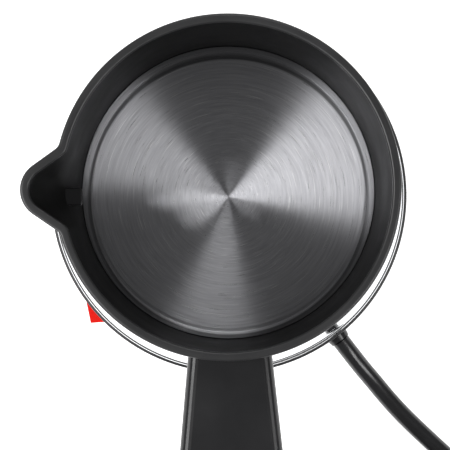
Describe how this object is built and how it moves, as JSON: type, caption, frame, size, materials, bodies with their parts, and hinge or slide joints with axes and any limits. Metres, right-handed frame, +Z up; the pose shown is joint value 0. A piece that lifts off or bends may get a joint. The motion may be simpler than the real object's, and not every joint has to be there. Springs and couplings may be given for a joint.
{
  "type": "electric coffee pot",
  "caption": "Small electric coffee pot with pouring spout, long side handle and brushed heating plate, on a round swivel power base with a rocker switch and a mains cord.",
  "frame": {"origin": "on the pot's axis, at the surface that the base stands on", "axes": "+Z up along the pot's axis, -X to the spout, -Y along the handle"},
  "size_m": [0.1766, 0.2687, 0.112],
  "materials": {
    "black_gloss": "gloss moulded",
    "black_plastic": "semi-gloss moulded",
    "connector_plastic": "matt moulded",
    "plate_steel": "circular brushed",
    "silicone": "matt",
    "zinc_steel": "zinc plated",
    "spreader_aluminium": "as rolled",
    "heater_sheath": "oxidised",
    "contact_brass": "bright",
    "fuse_sleeve": "woven glass sleeve",
    "wire_insulation": "satin",
    "chrome_trim": "polished",
    "foot_rubber": "matt",
    "switch_red": "translucent gloss",
    "lamp_glass": "clear",
    "cord_pvc": "satin PVC",
    "tie_plastic": "matt",
    "clamp_plastic": "matt",
    "plug_pvc": "satin PVC",
    "plug_nickel": "nickel plated"
  },
  "bodies": {
    "base": {"base_shell": "black_plastic", "base_bottom_cover": "black_plastic", "base_screws": "zinc_steel", "rubber_feet": "foot_rubber", "base_socket": "connector_plastic", "socket_contacts": "contact_brass", "switch_housing": "black_plastic", "switch_lamp": "lamp_glass", "switch_terminals": "contact_brass", "base_wires": "wire_insulation", "inner_cord": "cord_pvc", "cord_clamp": "clamp_plastic", "clamp_screws": "zinc_steel", "strain_relief": "cord_pvc", "cord": "cord_pvc", "cord_coil": "cord_pvc", "cord_tail": "cord_pvc", "cord_tie": "tie_plastic", "mains_plug": "plug_pvc", "plug_contacts": "plug_nickel"},
    "rocker": {"switch_rocker": "switch_red"},
    "connector": {"plug_housing": "connector_plastic", "plug_centre_pin": "contact_brass", "plug_contact_rings": "contact_brass"},
    "pot": {"pot_body": "black_gloss", "pot_skirt": "black_plastic", "heating_plate": "plate_steel", "plate_seal": "silicone", "plate_nuts": "zinc_steel", "heat_spreader": "spreader_aluminium", "heating_element": "heater_sheath", "element_terminals": "contact_brass", "thermostat": "connector_plastic", "thermostat_clip": "zinc_steel", "thermal_fuse": "fuse_sleeve", "pot_wires": "wire_insulation", "chrome_ring": "chrome_trim", "pot_bottom_cover": "black_plastic", "pot_bottom_screws": "zinc_steel", "handle_upper_shell": "black_gloss", "handle_lower_shell": "black_gloss", "handle_screws": "zinc_steel"}
  },
  "joints": [
    {"name": "pot_lift", "type": "slide", "parent": "base", "child": "connector", "axis": [0, 0, 1], "range_m": [0, 0.12]},
    {"name": "pot_turn", "type": "hinge", "parent": "connector", "child": "pot", "pos_m": [0, 0, 0.05], "axis": [0, 0, 1], "continuous": true},
    {"name": "switch_press", "type": "hinge", "parent": "base", "child": "rocker", "pos_m": [-0.04652, -0.03531, 0.0104], "axis": [0, 0, 1], "range_deg": [0, 36]}
  ]
}
